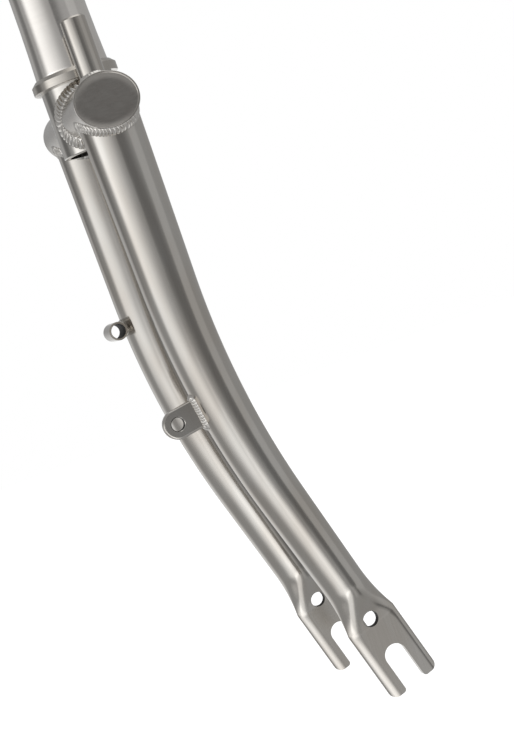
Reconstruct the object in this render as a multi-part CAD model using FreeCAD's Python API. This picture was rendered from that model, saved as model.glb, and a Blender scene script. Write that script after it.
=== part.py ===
import FreeCAD, Part
import math
import os

# Rigid fork for a small-wheel bicycle, welded from bare titanium tube.
# Millimetres. +X points forward, +Y to the rider's left, +Z up along the steerer.
# The origin is on the steerer axis, level with the upper edge of the crown race's rim.

# Steerer tube
STEERER_OD = 28.6
SEAT_OD = 30.0
STEERER_BORE = 25.4
STEERER_LENGTH_ABOVE = 160.0
SEAT_HEIGHT = 2.4
SEAT_TAPER = 32.0
STUB_BELOW_CROSSBAR = 2.0
STEERER_EDGE = 0.4

# Crown race ring, pressed on the seat
RACE_RIM_WALL = 2.7
RACE_RIM_HEIGHT = 3.4
RACE_TOP_WALL = 0.9
RACE_CONE_HEIGHT = 1.7
RACE_EDGE = 0.25

# Crossbar: an oval tube in two halves, one on each side of the steerer
CROSSBAR_WIDTH = 26.2
CROSSBAR_HEIGHT = 22.0
CROSSBAR_WALL = 1.3
RACE_TO_CROSSBAR = 3.6
CROSSBAR_PAST_BLADE = 0.3
CROSSBAR_EDGE = 0.3

# End caps, set in the mouths of the crossbar
CAP_THICKNESS = 2.0
CAP_RECESS = 0.2
CAP_RIM = 0.5
CAP_SLOPE_WIDTH = 2.2
CAP_SLOPE_DROP = 0.5

# Posts standing on the crossbar, in line with the blades
POST_OD = 10.2
POST_TOP = 17.0
POST_EDGE = 0.7

# Blades: tapered round tube, raked forward by one bend, pressed flat at the tip
BLADE_FORWARD = 0.5
BLADE_LATERAL = 33.0
BLADE_TOP_OD = 24.5
BLADE_SMALL_OD = 17.2
BLADE_WALL = 1.2
BEND_START = 73.1
BEND_RADIUS = 340.0
BEND_ANGLE = math.radians(16.05)
BEND_TO_EYELET = 58.1
SWAGE_LENGTH = 19.0
SWAGE_PAST_EYELET = 1.0
PRESS_LENGTH = 14.6
PRESSED_ABOVE_EYELET = 4.4
HOLLOW_SHARE_OF_PRESS = 0.6

# Blade tips: two tongues with the axle slot between them
HUB_SPACING = 74.0
TIP_THICKNESS = 3.4
TIP_WIDTH = 22.4
TIP_EDGE = 4.5
EYELET_HOLE = 6.4
EYELET_TO_AXLE = 17.9
AXLE_SLOT = 9.2
AXLE_TO_TIP_END = 14.0
TONGUE_OUTER_ROUND = 3.2
TONGUE_INNER_ROUND = 1.4

# Drilled lug on the back of the right blade
LUG_THICKNESS = 3.5
LUG_ROUND = 5.9
LUG_EDGE = 0.9
LUG_HOLE = 5.3
LUG_HOLE_EDGE = 0.3
LUG_BELOW_CROSSBAR = 122.5
LUG_OUT_OF_BLADE = 9.4

# Cable guide on the back of the left blade
GUIDE_OD = 7.8
GUIDE_BORE = 6.1
GUIDE_LENGTH = 16.0
GUIDE_BELOW_CROSSBAR = 84.3
GUIDE_BITE = 0.25
GUIDE_PAST_WELD = 4.0

# Weld beads
BEAD_CROWN = 2.3
BEAD_BLADE = 2.0
BEAD_POST = 1.6
BEAD_SMALL = 1.5
BEAD_LUG = 2.0

SECTION_POINTS = 32
JOINT_POINTS = 40
BEAD_POINTS = 12
TUBE_STEPS = 17
SWAGE_STEP = 2.5
REACH = 60.0
TOUCH = 0.01

# Levels and places that follow from the sizes above
CROSSBAR_Z = -(RACE_RIM_HEIGHT + RACE_TO_CROSSBAR + CROSSBAR_HEIGHT / 2)
STEERER_BOTTOM = CROSSBAR_Z - CROSSBAR_HEIGHT / 2 - STUB_BELOW_CROSSBAR
TIP_LATERAL = HUB_SPACING / 2 + TIP_THICKNESS / 2
CROSSBAR_END = BLADE_LATERAL + BLADE_TOP_OD / 2 + CROSSBAR_PAST_BLADE
BEND_LENGTH = BEND_RADIUS * BEND_ANGLE
EYELET_S = BEND_START + BEND_LENGTH + BEND_TO_EYELET
AXLE_S = EYELET_S + EYELET_TO_AXLE
TIP_S = AXLE_S + AXLE_TO_TIP_END
FLAT_S = EYELET_S + SWAGE_PAST_EYELET
SWAGE_S = FLAT_S - SWAGE_LENGTH
PRESSED_S = EYELET_S - PRESSED_ABOVE_EYELET
PRESS_S = PRESSED_S - PRESS_LENGTH
HOLLOW_S = PRESS_S + PRESS_LENGTH * HOLLOW_SHARE_OF_PRESS


def vec(x, y, z):
    return FreeCAD.Vector(x, y, z)


UP = vec(0, 0, 1)


def cylinder(radius, start, direction, length):
    return Part.makeCylinder(radius, length, start, direction)


def mirrored(shape):
    return shape.mirror(vec(0, 0, 0), vec(0, 1, 0))


def smooth_loop(points):
    curve = Part.BSplineCurve()
    curve.interpolate(Points=points, PeriodicFlag=True)
    return Part.Wire([curve.toShape()])


# Everything from here on is drawn on the rider's right, at -Y, and mirrored for the left.
# The blade's centre line goes by its length down from the crossbar's axis.

def blade_angle(s):
    turned = min(max(s - BEND_START, 0.0), BEND_LENGTH)
    return turned / BEND_RADIUS


def blade_lateral(s):
    if s >= FLAT_S:
        return TIP_LATERAL
    return BLADE_LATERAL + (TIP_LATERAL - BLADE_LATERAL) * s / FLAT_S


def blade_centre(s):
    angle = blade_angle(s)
    x = BLADE_FORWARD + BEND_RADIUS * (1 - math.cos(angle))
    z = CROSSBAR_Z - min(s, BEND_START) - BEND_RADIUS * math.sin(angle)
    past = max(s - BEND_START - BEND_LENGTH, 0.0)
    x += past * math.sin(angle)
    z -= past * math.cos(angle)
    return vec(x, -blade_lateral(s), z)


def blade_forward(s):
    angle = blade_angle(s)
    return vec(math.cos(angle), 0, math.sin(angle))


def blade_down(s):
    angle = blade_angle(s)
    return vec(math.sin(angle), 0, -math.cos(angle))


def share(s, start, end):
    return min(max((s - start) / (end - start), 0.0), 1.0)


def blade_od(s):
    return BLADE_TOP_OD + (BLADE_SMALL_OD - BLADE_TOP_OD) * share(s, 0, PRESS_S)


def blade_size(s):
    # width, thickness and reach of the rounded edges; a round tube above the swage
    spread = share(s, SWAGE_S, FLAT_S) ** 2
    pressed = share(s, PRESS_S, PRESSED_S)
    pressed = pressed ** 2 * (3 - 2 * pressed)
    width = blade_od(s) + (TIP_WIDTH - BLADE_SMALL_OD) * spread
    thickness = blade_od(s) + (TIP_THICKNESS - BLADE_SMALL_OD) * pressed
    edge = width / 2 + (TIP_EDGE - width / 2) * share(s, PRESSED_S, FLAT_S)
    return width, thickness, edge


def pressed_outline(width, thickness, edge):
    # points at even steps round two flats joined by half ellipses
    flat = width / 2 - edge
    quarter = math.pi / 4 * (edge + thickness / 2)
    step = (4 * flat + 4 * quarter) / SECTION_POINTS
    points = []
    for i in range(SECTION_POINTS):
        half, d = divmod(i * step, 2 * quarter + 2 * flat)
        hand = 1 if half == 0 else -1
        if d < quarter:
            a = math.pi / 2 * d / quarter
            points.append((hand * (flat + edge * math.cos(a)), hand * thickness / 2 * math.sin(a)))
        elif d < quarter + 2 * flat:
            points.append((hand * (flat - d + quarter), hand * thickness / 2))
        else:
            a = math.pi / 2 * (d - 2 * flat) / quarter
            points.append((hand * (edge * math.cos(a) - flat), hand * thickness / 2 * math.sin(a)))
    return points


def blade_section(s, grow=0.0):
    # closed smooth outline in the plane square to the blade's run seen from the side
    width, thickness, edge = blade_size(s)
    centre = blade_centre(s)
    forward = blade_forward(s)
    points = []
    for u, v in pressed_outline(width + 2 * grow, thickness + 2 * grow, edge + grow):
        points.append(centre + forward * u + vec(0, v, 0))
    return smooth_loop(points)


def blade_solid(grow=0.0, end=FLAT_S):
    # round tube down to the press, then the pressed length in shorter steps
    stations = [PRESS_S * i / TUBE_STEPS for i in range(TUBE_STEPS + 1)]
    if end > PRESS_S:
        steps = math.ceil((end - PRESS_S) / SWAGE_STEP)
        stations += [PRESS_S + (end - PRESS_S) * i / steps for i in range(1, steps + 1)]
    return Part.makeLoft([blade_section(s, grow) for s in stations], True, False)


def crossbar_oval(grow, y_from, y_to):
    half_width = CROSSBAR_WIDTH / 2 + grow
    half_height = CROSSBAR_HEIGHT / 2 + grow
    centre = vec(0, y_from, CROSSBAR_Z)
    oval = Part.Ellipse(centre + vec(half_width, 0, 0), centre + vec(0, 0, half_height), centre)
    face = Part.Face(Part.Wire([oval.toShape()]))
    return face.extrude(vec(0, y_to - y_from, 0))


def steerer_envelope():
    # outside of the steerer without the bore; the seat runs out to the tube in a hollow curve
    seat = SEAT_OD / 2
    tube = STEERER_OD / 2
    seat_top = SEAT_HEIGHT + SEAT_TAPER
    below = [(seat, SEAT_HEIGHT), (seat, STEERER_BOTTOM + STEERER_EDGE),
             (seat - STEERER_EDGE, STEERER_BOTTOM), (0, STEERER_BOTTOM),
             (0, STEERER_LENGTH_ABOVE), (tube - STEERER_EDGE, STEERER_LENGTH_ABOVE),
             (tube, STEERER_LENGTH_ABOVE - STEERER_EDGE), (tube, seat_top)]
    runout = Part.BezierCurve()
    runout.setPoles([vec(tube, 0, seat_top), vec(tube, 0, SEAT_HEIGHT + SEAT_TAPER / 2),
                     vec(seat, 0, SEAT_HEIGHT)])
    straight = Part.makePolygon([vec(r, 0, z) for r, z in below])
    face = Part.Face(Part.Wire(straight.Edges + [runout.toShape()]))
    return face.revolve(vec(0, 0, 0), UP, 360)


def revolve(corners):
    points = [vec(r, 0, z) for r, z in corners]
    face = Part.Face(Part.makePolygon(points + points[:1]))
    return face.revolve(vec(0, 0, 0), UP, 360)


# Frame pieces

def steerer_tube():
    bore = cylinder(STEERER_BORE / 2, vec(0, 0, STEERER_BOTTOM), UP,
                    STEERER_LENGTH_ABOVE - STEERER_BOTTOM)
    return steerer_envelope().cut(bore)


def crown_race():
    seat = SEAT_OD / 2
    rim = seat + RACE_RIM_WALL
    corners = [(seat, -RACE_RIM_HEIGHT), (rim - RACE_EDGE, -RACE_RIM_HEIGHT),
               (rim, -RACE_RIM_HEIGHT + RACE_EDGE), (rim, 0), (seat + RACE_TOP_WALL, RACE_CONE_HEIGHT),
               (seat, RACE_CONE_HEIGHT)]
    return revolve(corners)


def crossbar_half():
    outside = crossbar_oval(0, -CROSSBAR_END, 0)
    mouth = [e for e in outside.Edges if abs(e.CenterOfMass.y + CROSSBAR_END) < TOUCH]
    outside = outside.makeFillet(CROSSBAR_EDGE, mouth)
    inside = crossbar_oval(-CROSSBAR_WALL, -REACH, 0)
    cap_seat = crossbar_oval(-CAP_RIM, -REACH, -CROSSBAR_END + CAP_RECESS + CAP_THICKNESS)
    return outside.cut(inside).cut(cap_seat).cut(steerer_envelope())


def end_cap():
    # disc let into the wall, its face sloping away round the edge
    face_y = -CROSSBAR_END + CAP_RECESS
    disc = crossbar_oval(-CAP_RIM, face_y, face_y + CAP_THICKNESS)
    rim = [e for e in disc.Edges if abs(e.CenterOfMass.y - face_y) < TOUCH]
    return disc.makeChamfer(CAP_SLOPE_DROP, CAP_SLOPE_WIDTH, rim)


def post():
    pin = cylinder(POST_OD / 2, blade_centre(0), UP, POST_TOP - CROSSBAR_Z)
    top = [e for e in pin.Edges if abs(e.CenterOfMass.z - POST_TOP) < TOUCH]
    return pin.makeChamfer(POST_EDGE, top).cut(crossbar_oval(0, -REACH, 0))


def tip_cutter():
    # slot, rounded tongue ends and eyelet hole, drawn along and across the flat
    along = blade_down(TIP_S)
    across = blade_forward(TIP_S)
    inner_face = vec(0, TIP_THICKNESS, 0)
    through = inner_face * -2
    axle = blade_centre(AXLE_S) + inner_face

    def at(down, fore):
        return axle + along * down + across * fore

    def arc(first, middle, last):
        return Part.Arc(at(*first), at(*middle), at(*last)).toShape()

    def line(first, last):
        return Part.LineSegment(at(*first), at(*last)).toShape()

    end = AXLE_TO_TIP_END
    clear = end + TIP_WIDTH
    slant = math.sqrt(0.5)
    outer = TONGUE_OUTER_ROUND
    inner = TONGUE_INNER_ROUND
    edges = [arc((0, -AXLE_SLOT / 2), (-AXLE_SLOT / 2, 0), (0, AXLE_SLOT / 2)),
             line((clear, -TIP_WIDTH), (clear, TIP_WIDTH))]
    for hand in (-1, 1):
        slot_wall = hand * AXLE_SLOT / 2
        tip_side = hand * TIP_WIDTH / 2
        slot_round = slot_wall + hand * inner
        side_round = tip_side - hand * outer
        edges.append(line((clear, hand * TIP_WIDTH), (end - outer, hand * TIP_WIDTH)))
        edges.append(line((end - outer, hand * TIP_WIDTH), (end - outer, tip_side)))
        edges.append(arc((end - outer, tip_side),
                         (end - outer + outer * slant, side_round + hand * outer * slant),
                         (end, side_round)))
        edges.append(line((end, side_round), (end, slot_round)))
        edges.append(arc((end, slot_round),
                         (end - inner + inner * slant, slot_round - hand * inner * slant),
                         (end - inner, slot_wall)))
        edges.append(line((end - inner, slot_wall), (0, slot_wall)))
    outline = Part.Wire(Part.__sortEdges__(edges))
    trim = Part.Face(outline).extrude(through)
    hole = cylinder(EYELET_HOLE / 2, blade_centre(EYELET_S) + inner_face, through, through.Length)
    return trim.fuse(hole)


def blade():
    tube = blade_solid()
    flat = Part.makeLoft([blade_section(FLAT_S), blade_section(TIP_S)], True, True)
    hollow = blade_solid(-BLADE_WALL, HOLLOW_S)
    solid = tube.fuse(flat).cut(hollow).cut(tip_cutter())
    return solid.cut(crossbar_oval(0, -REACH, 0))


# Fittings on the backs of the blades

def lug_eye():
    # centre of the lug's hole, halfway through its thickness
    back = blade_od(LUG_BELOW_CROSSBAR) / 2 + LUG_OUT_OF_BLADE
    return blade_centre(LUG_BELOW_CROSSBAR) - blade_forward(LUG_BELOW_CROSSBAR) * back


def lug_plate(grow=0.0):
    # round-ended plate from the middle of the blade back to the eye
    half = LUG_THICKNESS / 2 + grow
    side = blade_down(LUG_BELOW_CROSSBAR) * (LUG_ROUND + grow)
    rear = blade_forward(LUG_BELOW_CROSSBAR) * -(LUG_ROUND + grow)
    eye = lug_eye() - vec(0, half, 0)
    root = blade_centre(LUG_BELOW_CROSSBAR) - vec(0, half, 0)
    outline = Part.Wire([Part.Arc(eye - side, eye + rear, eye + side).toShape(),
                         Part.LineSegment(eye + side, root + side).toShape(),
                         Part.LineSegment(root + side, root - side).toShape(),
                         Part.LineSegment(root - side, eye - side).toShape()])
    return Part.Face(outline).extrude(vec(0, 2 * half, 0))


def drilled_lug():
    plate = lug_plate()
    root = blade_centre(LUG_BELOW_CROSSBAR)
    along = [e for e in plate.Edges if abs(e.tangentAt(e.FirstParameter).y) < TOUCH]
    rims = [e for e in along if e.CenterOfMass.distanceToPoint(root) > LUG_THICKNESS]
    plate = plate.makeFillet(LUG_EDGE, rims)
    start = lug_eye() - vec(0, LUG_THICKNESS, 0)
    plate = plate.cut(cylinder(LUG_HOLE / 2, start, vec(0, 1, 0), 2 * LUG_THICKNESS))
    mouths = [e for e in plate.Edges
              if isinstance(e.Curve, Part.Circle) and abs(e.Curve.Radius - LUG_HOLE / 2) < TOUCH]
    return plate.makeChamfer(LUG_HOLE_EDGE, mouths).cut(blade_solid())


def guide_barrel(radius, length):
    back = blade_od(GUIDE_BELOW_CROSSBAR) / 2 + GUIDE_OD / 2 - GUIDE_BITE
    centre = blade_centre(GUIDE_BELOW_CROSSBAR) - blade_forward(GUIDE_BELOW_CROSSBAR) * back
    return cylinder(radius, centre - vec(0, length / 2, 0), vec(0, 1, 0), length)


def cable_guide():
    tube = guide_barrel(GUIDE_OD / 2, GUIDE_LENGTH)
    return tube.cut(guide_barrel(GUIDE_BORE / 2, GUIDE_LENGTH)).cut(blade_solid())


# Weld beads: a round bead follows each joint line, and the tubes are cut from it

def bead_section(centre, along, out, radius):
    side = along.cross(out).normalize()
    up = side.cross(along).normalize()
    points = []
    for i in range(BEAD_POINTS):
        turn = 2 * math.pi * i / BEAD_POINTS
        points.append(centre + up * radius * math.cos(turn) + side * radius * math.sin(turn))
    return smooth_loop(points)


def bead_along(joint_line, middle, radius):
    curve = Part.BSplineCurve()
    curve.interpolate(Points=joint_line, PeriodicFlag=True)
    sections = []
    for point in joint_line:
        along = curve.tangent(curve.parameter(point))[0]
        sections.append(bead_section(point, along, point - middle, radius))
    skin = Part.makeLoft(sections, False, False, True)
    return Part.Solid(Part.Shell(skin.Faces))


def joint_turns():
    # angles round a joint, starting an eighth of a turn away from the tubes' own seams
    return [2 * math.pi * (i / JOINT_POINTS + 1 / 8) for i in range(JOINT_POINTS)]


def crossbar_height_at(x):
    # half height of the oval at this distance forward of its axis
    across = min(abs(x) / (CROSSBAR_WIDTH / 2), 1.0)
    return CROSSBAR_HEIGHT / 2 * math.sqrt(1 - across ** 2)


def crown_bead():
    points = []
    for turn in joint_turns():
        x = CROSSBAR_WIDTH / 2 * math.cos(turn)
        z = CROSSBAR_Z + CROSSBAR_HEIGHT / 2 * math.sin(turn)
        points.append(vec(x, -math.sqrt((SEAT_OD / 2) ** 2 - x ** 2), z))
    bead = bead_along(points, vec(0, -SEAT_OD / 2, CROSSBAR_Z), BEAD_CROWN)
    return bead.cut(steerer_envelope()).cut(crossbar_oval(0, -REACH, 0))


def blade_bead():
    points = []
    for turn in joint_turns():
        drop = crossbar_height_at(BLADE_FORWARD + BLADE_TOP_OD / 2 * math.cos(turn))
        out = vec(math.cos(turn), math.sin(turn), 0) * blade_od(drop) / 2
        point = blade_centre(drop) + out
        point.z = CROSSBAR_Z - crossbar_height_at(point.x)
        points.append(point)
    bead = bead_along(points, blade_centre(CROSSBAR_HEIGHT / 2), BEAD_BLADE)
    return bead.cut(blade_solid()).cut(crossbar_oval(0, -REACH, 0))


def post_bead():
    axis = blade_centre(0)
    points = []
    for turn in joint_turns():
        point = axis + vec(math.cos(turn), math.sin(turn), 0) * POST_OD / 2
        point.z = CROSSBAR_Z + crossbar_height_at(point.x)
        points.append(point)
    bead = bead_along(points, axis + vec(0, 0, CROSSBAR_HEIGHT / 2), BEAD_POST)
    pin = cylinder(POST_OD / 2, axis, UP, REACH)
    return bead.cut(pin).cut(crossbar_oval(0, -REACH, 0))


def lug_bead():
    bead = lug_plate(BEAD_LUG).common(blade_solid(BEAD_LUG, PRESS_S))
    return bead.cut(blade_solid()).cut(lug_plate())


def guide_bead():
    collar = guide_barrel(GUIDE_OD / 2 + BEAD_SMALL, GUIDE_LENGTH - 2 * GUIDE_PAST_WELD)
    bead = collar.common(blade_solid(BEAD_SMALL, PRESS_S))
    return bead.cut(blade_solid()).cut(guide_barrel(GUIDE_OD / 2, GUIDE_LENGTH))


def save(name, shape):
    solid = shape.Solids[0]
    solid.exportStep("parts/" + name + ".step")
    print(name, len(shape.Solids), solid.isValid(), round(solid.Volume, 1))


def save_pair(name, shape):
    save(name + "_right", shape)
    save(name + "_left", mirrored(shape))


def main():
    os.makedirs("parts", exist_ok=True)
    save("steerer_tube", steerer_tube())
    save("crown_race", crown_race())
    save_pair("crossbar", crossbar_half())
    save_pair("end_cap", end_cap())
    save_pair("post", post())
    save_pair("blade", blade())
    save_pair("crown_weld", crown_bead())
    save_pair("blade_weld", blade_bead())
    save_pair("post_weld", post_bead())
    save("drilled_lug", drilled_lug())
    save("lug_weld", lug_bead())
    save("cable_guide", mirrored(cable_guide()))
    save("guide_weld", mirrored(guide_bead()))


main()
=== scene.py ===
import math

import bpy
import numpy as np
from bpy.props import FloatProperty, FloatVectorProperty, IntProperty, PointerProperty
from mathutils import Matrix, Vector


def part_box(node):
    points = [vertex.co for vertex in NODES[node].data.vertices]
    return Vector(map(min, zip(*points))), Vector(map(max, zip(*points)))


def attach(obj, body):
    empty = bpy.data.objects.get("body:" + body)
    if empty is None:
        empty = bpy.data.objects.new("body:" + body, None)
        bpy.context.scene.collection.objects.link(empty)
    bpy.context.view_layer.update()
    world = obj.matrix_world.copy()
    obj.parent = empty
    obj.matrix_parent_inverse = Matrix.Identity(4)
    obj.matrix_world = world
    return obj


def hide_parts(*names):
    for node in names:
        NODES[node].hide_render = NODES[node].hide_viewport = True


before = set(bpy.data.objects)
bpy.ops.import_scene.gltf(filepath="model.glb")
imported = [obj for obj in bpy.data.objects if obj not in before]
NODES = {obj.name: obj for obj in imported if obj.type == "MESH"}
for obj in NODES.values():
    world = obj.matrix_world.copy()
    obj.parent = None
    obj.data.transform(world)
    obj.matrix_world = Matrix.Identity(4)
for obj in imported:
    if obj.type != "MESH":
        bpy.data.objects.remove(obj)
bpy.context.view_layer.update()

bl_info = {
    "name": "Titanium bicycle fork",
    "version": (1, 0, 0),
    "blender": (4, 5, 0),
    "location": "View3D > Sidebar > Fork",
    "description": "Skins, welds and bare metal finishes for a titanium bicycle fork, and a studio for it",
    "category": "Object",
}

MM = 0.001

# Sizes of the solids, in millimetres. A run is a length down the blade from the crossbar's axis.
SEAT_RADIUS = 15.0
CROSSBAR_HALF_WIDTH = 13.1
CROSSBAR_HALF_HEIGHT = 11.0
CROSSBAR_HEIGHT_AT = -18.0
BLADE_FORWARD = 0.5
BLADE_TOP_RADIUS = 12.25
BLADE_SMALL_RADIUS = 8.6
BLADE_LATERAL = 33.0
TIP_LATERAL = 38.7
BEND_START = 73.1
BEND_RADIUS = 340.0
BEND_LENGTH = 95.24
EYELET_RUN = 226.44
PRESS_RUN = 207.4
AXLE_RUN = 244.34
TIP_RUN = 258.34
FLAT_RUN = 227.44
SWAGE_RUN = 208.44
TIP_HALF_WIDTH = 11.2
TIP_HALF_THICKNESS = 1.7
AXLE_SLOT_RADIUS = 4.6
TONGUE_OUTER_ROUND = 3.2
TONGUE_INNER_ROUND = 1.4
POST_RADIUS = 5.1
LUG_RUN = 122.5
LUG_HALF_THICKNESS = 1.75
LUG_ROUND = 5.9
LUG_OUT_OF_BLADE = 9.4
LUG_HOLE_RADIUS = 2.65
GUIDE_RUN = 84.3
GUIDE_RADIUS = 3.9
GUIDE_BORE_RADIUS = 3.05
GUIDE_BITE = 0.25
EYELET_RADIUS = 3.2
RACE_UNDERSIDE_AT = -3.4

# How finely the welds and skins are drawn: steps in millimetres, the rest are counts
SEED_POINTS = 240
SEED_STEP = 0.3
BEAD_STEP = 0.13
BEAD_ACROSS = 16
SKIN_COLUMNS = 128
SKIN_ROWS_ON_TUBE = 150
SKIN_ROWS_IN_PRESS = 64
SKIN_ROWS_ON_TIP = 24
SKIN_ROWS_AT_COPE = 40
OUTLINE_POINTS = 1440
ROUND_POINTS = 24
SLOT_POINTS = 64
EYELET_POINTS = 72
CAP_ROWS = 40
CAP_COLUMNS = 160


# Colours, nodes and meshes

def linear(hex_colour):
    """An sRGB hex colour as linear red, green, blue and alpha."""
    channels = []
    for i in (1, 3, 5):
        c = int(hex_colour[i:i + 2], 16) / 255
        channels.append(c / 12.92 if c <= 0.04045 else ((c + 0.055) / 1.055) ** 2.4)
    return channels + [1.0]


def add(tree, kind, settings=None, inputs=None):
    """A shader node with its properties set, and each named socket linked to a socket or given a value."""
    node = tree.nodes.new(kind)
    for name, value in (settings or {}).items():
        setattr(node, name, value)
    for name, value in (inputs or {}).items():
        if isinstance(value, bpy.types.NodeSocket):
            tree.links.new(value, node.inputs[name])
        else:
            node.inputs[name].default_value = value
    return node


def new_material(name):
    material = bpy.data.materials.new(name)
    material.use_nodes = True
    material.node_tree.nodes.clear()
    return material, material.node_tree


def new_piece(name, points, faces, material, nodes):
    """A smooth mesh in millimetres that stands for the named solids."""
    mesh = bpy.data.meshes.new(name)
    mesh.from_pydata([tuple(p) for p in np.asarray(points) * MM], [], faces)
    mesh.shade_smooth()
    mesh.materials.append(material)
    piece = bpy.data.objects.new(name, mesh)
    bpy.context.scene.collection.objects.link(piece)
    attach(piece, "root")
    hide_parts(*nodes)
    return piece


def ring_faces(rows, count, closed):
    """Faces between rings of equal count, and from the last ring to the first if closed."""
    faces = []
    for j in range(rows if closed else rows - 1):
        here = j * count
        there = (j + 1) % rows * count
        for i in range(count):
            k = (i + 1) % count
            faces.append((here + i, here + k, there + k, there + i))
    return faces


def tube_mesh(rows):
    """Points and faces of a closed tube through rings of equal count, with a middle point at each end."""
    count = rows.shape[1]
    points = np.vstack([rows.reshape(-1, 3), rows[0].mean(axis=0), rows[-1].mean(axis=0)])
    faces = ring_faces(len(rows), count, closed=False)
    top = len(points) - 2
    last = (len(rows) - 1) * count
    for i in range(count):
        k = (i + 1) % count
        faces += [(top, k, i), (top + 1, last + i, last + k)]
    return points, faces


def face_outward(piece, face, out):
    """Turns a piece's faces over if this one of them looks into the metal."""
    if piece.data.polygons[face].normal.dot(Vector(out)) < 0:
        piece.data.flip_normals()
    piece.data.update()


# What a user would change

class ForkFinishes(bpy.types.PropertyGroup):
    """Colours of the bare metal"""
    tube: FloatVectorProperty(
        name="Tube", description="Satin titanium of the tubes", subtype="COLOR",
        size=4, min=0, max=1, default=linear("#CAC7C2"))
    seat: FloatVectorProperty(
        name="Bearing seat", description="Turned titanium of the steerer", subtype="COLOR",
        size=4, min=0, max=1, default=linear("#EEEBE7"))
    weld: FloatVectorProperty(
        name="Weld", description="Bright titanium of the weld beads", subtype="COLOR",
        size=4, min=0, max=1, default=linear("#DFDDDA"))
    race: FloatVectorProperty(
        name="Crown race", description="Ground steel of the bearing ring", subtype="COLOR",
        size=4, min=0, max=1, default=linear("#C6C2BC"))
    floor: FloatVectorProperty(
        name="Floor", description="Paper that the fork is shown over", subtype="COLOR",
        size=4, min=0, max=1, default=linear("#F4F4F4"))


class ForkWelds(bpy.types.PropertyGroup):
    """Sizes of the weld beads"""
    crown_leg: FloatProperty(
        name="Crown bead leg", description="Reach of the crown beads along each tube",
        default=2.9 * MM, unit="LENGTH", subtype="DISTANCE")
    blade_leg: FloatProperty(
        name="Blade bead leg", description="Reach of the blade beads along each tube",
        default=2.5 * MM, unit="LENGTH", subtype="DISTANCE")
    post_leg: FloatProperty(
        name="Post bead leg", description="Reach of the post beads along each tube",
        default=1.6 * MM, unit="LENGTH", subtype="DISTANCE")
    small_leg: FloatProperty(
        name="Fitting bead leg", description="Reach of the beads round the lug and the guide",
        default=1.5 * MM, unit="LENGTH", subtype="DISTANCE")
    crown_pitch: FloatProperty(
        name="Crown ripple pitch", description="Distance between ripples on the crown beads",
        default=1.6 * MM, unit="LENGTH", subtype="DISTANCE")
    blade_pitch: FloatProperty(
        name="Blade ripple pitch", description="Distance between ripples on the blade beads",
        default=1.35 * MM, unit="LENGTH", subtype="DISTANCE")
    seed: IntProperty(name="Seed", description="Which uneven hand the ripples have", default=7, min=0)


class ForkBlades(bpy.types.PropertyGroup):
    """The press at the blade's end, with its places measured from the middle of the eyelet"""
    press_start: FloatProperty(
        name="Press start", description="Where the tube begins to flatten, above the eyelet",
        default=16.5 * MM, unit="LENGTH", subtype="DISTANCE")
    press_end: FloatProperty(
        name="Press end", description="Where the tip has its full flatness, above the eyelet",
        default=-3.0 * MM, unit="LENGTH", subtype="DISTANCE")
    fan_start: FloatProperty(
        name="Fan start", description="Where the flats begin as a point, above the eyelet",
        default=12.0 * MM, unit="LENGTH", subtype="DISTANCE")
    fan_end: FloatProperty(
        name="Fan end", description="Where the flats reach their full width, below the eyelet",
        default=7.0 * MM, unit="LENGTH", subtype="DISTANCE")
    front_edge: FloatProperty(
        name="Front edge", description="How far the tip's rounded front edge reaches inward",
        default=2.8 * MM, unit="LENGTH", subtype="DISTANCE")
    rear_edge: FloatProperty(
        name="Rear edge", description="How far the tip's rounded rear edge reaches inward",
        default=4.6 * MM, unit="LENGTH", subtype="DISTANCE")


class ForkCaps(bpy.types.PropertyGroup):
    """Sizes of the end caps"""
    gap: FloatProperty(
        name="Joint gap", description="Gap between a cap and the tube's rim",
        default=0.06 * MM, unit="LENGTH", subtype="DISTANCE")
    drop: FloatProperty(
        name="Edge drop", description="How far the face falls away at its edge",
        default=0.38 * MM, unit="LENGTH", subtype="DISTANCE")
    lip: FloatProperty(
        name="Fused rim", description="Radius of the thin bright rim that joins a cap to its tube",
        default=0.26 * MM, unit="LENGTH", subtype="DISTANCE")


class ForkSettings(bpy.types.PropertyGroup):
    """Everything that can be changed"""
    finishes: PointerProperty(type=ForkFinishes)
    welds: PointerProperty(type=ForkWelds)
    blades: PointerProperty(type=ForkBlades)
    caps: PointerProperty(type=ForkCaps)


# Metals

# Metal within a bore's radius plus this margin, in millimetres, is the bore's wall
BORE_MARGIN = 0.06
# Painted shade: the bore walls' dark colour stands in for the shade inside the holes. Their roughness is that
# of metal left as drilled.
BORE_WALL_SHADE_COLOUR = "#3C3A38"
DRILLED_ROUGHNESS = 0.6


def surface_place(tree, stretch):
    """Place on the part in millimetres, multiplied along each axis by stretch."""
    place = add(tree, "ShaderNodeTexCoord").outputs["Object"]
    return add(tree, "ShaderNodeVectorMath", {"operation": "MULTIPLY"},
               {0: place, 1: [s / MM for s in stretch]}).outputs["Vector"]


def metal_surface(tree, colour, roughness, swing, lines, depth, clouds, tint):
    """Bare metal's shader. Lines scratch it to a depth in millimetres and swing its roughness to both sides.
    Clouds give parts of it a tint.
    """
    rough = add(tree, "ShaderNodeMapRange", None, {
        "Value": lines, "From Min": 0.3, "From Max": 0.7,
        "To Min": roughness - swing, "To Max": roughness + swing}).outputs[0]
    tinted = add(tree, "ShaderNodeMix", {"data_type": "RGBA", "blend_type": "MULTIPLY"},
                 {0: clouds, 6: colour, 7: tint})
    bump = add(tree, "ShaderNodeBump", None, {
        "Strength": 1.0, "Distance": depth * MM, "Height": lines})
    shader = add(tree, "ShaderNodeBsdfPrincipled", None, {
        "Base Color": tinted.outputs[2], "Metallic": 1.0, "Roughness": rough,
        "Normal": bump.outputs["Normal"]})
    add(tree, "ShaderNodeOutputMaterial", None, {"Surface": shader.outputs["BSDF"]})
    return shader


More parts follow.
